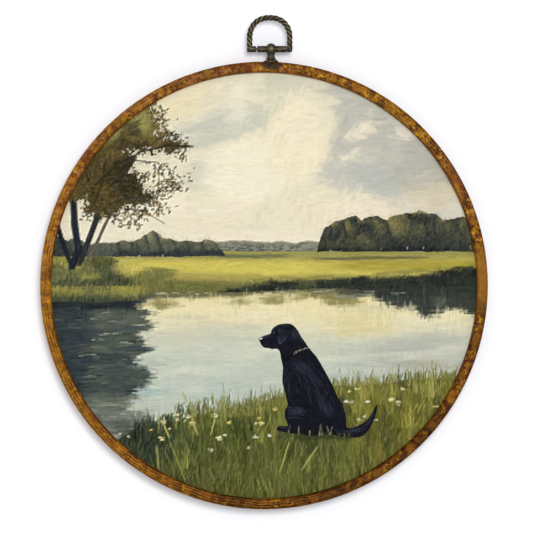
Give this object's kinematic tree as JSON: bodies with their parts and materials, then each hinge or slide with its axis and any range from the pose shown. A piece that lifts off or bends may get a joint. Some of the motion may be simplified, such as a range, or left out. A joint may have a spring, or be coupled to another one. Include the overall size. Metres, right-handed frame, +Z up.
{
  "type": "round framed picture",
  "caption": "Round canvas print in a turned wooden ring frame, hung by a twisted metal bail on a ball post.",
  "frame": {"origin": "centre of the ring on the wall plane that the four pads touch", "axes": "-Y is the way the picture faces, +Y points into the wall, +Z is up, +X is to the right seen from the front"},
  "size_m": [0.254, 0.014, 0.2809],
  "materials": {
    "ring_wood": "satin amber burl",
    "canvas": "matte printed canvas",
    "board": "raw fibreboard",
    "backing": "smooth hardboard",
    "button_brass": "brushed",
    "screw_brass": "satin",
    "pad_rubber": "matte",
    "antique_bronze": "antique, dark in the recesses",
    "screw_steel": "plain",
    "pin_steel": "darkened"
  },
  "bodies": {
    "frame": {"frame_ring": "ring_wood", "canvas_print": "canvas", "picture_board": "board", "backing_board": "backing", "button_screws": "screw_brass", "wall_pads": "pad_rubber", "hanger_flange": "antique_bronze", "hanger_post": "antique_bronze", "hanger_screw": "screw_steel"},
    "bail_loop": {"bail": "antique_bronze", "pivot_pin": "pin_steel"},
    "button_1": {"turn_button_1": "button_brass"},
    "button_2": {"turn_button_2": "button_brass"},
    "button_3": {"turn_button_3": "button_brass"},
    "button_4": {"turn_button_4": "button_brass"}
  },
  "joints": [
    {"name": "bail_swing", "type": "hinge", "parent": "frame", "child": "bail_loop", "pos_m": [0.0039, -0.008, 0.1344], "axis": [1, 0, 0], "range_deg": [-130, 130]},
    {"name": "button_1_turn", "type": "hinge", "parent": "frame", "child": "button_1", "pos_m": [0.08842, -0.00155, 0.08842], "axis": [0, 1, 0], "continuous": true},
    {"name": "button_2_turn", "type": "hinge", "parent": "frame", "child": "button_2", "pos_m": [-0.08842, -0.00155, 0.08842], "axis": [0, 1, 0], "continuous": true},
    {"name": "button_3_turn", "type": "hinge", "parent": "frame", "child": "button_3", "pos_m": [-0.08842, -0.00155, -0.08842], "axis": [0, 1, 0], "continuous": true},
    {"name": "button_4_turn", "type": "hinge", "parent": "frame", "child": "button_4", "pos_m": [0.08842, -0.00155, -0.08842], "axis": [0, 1, 0], "continuous": true}
  ]
}
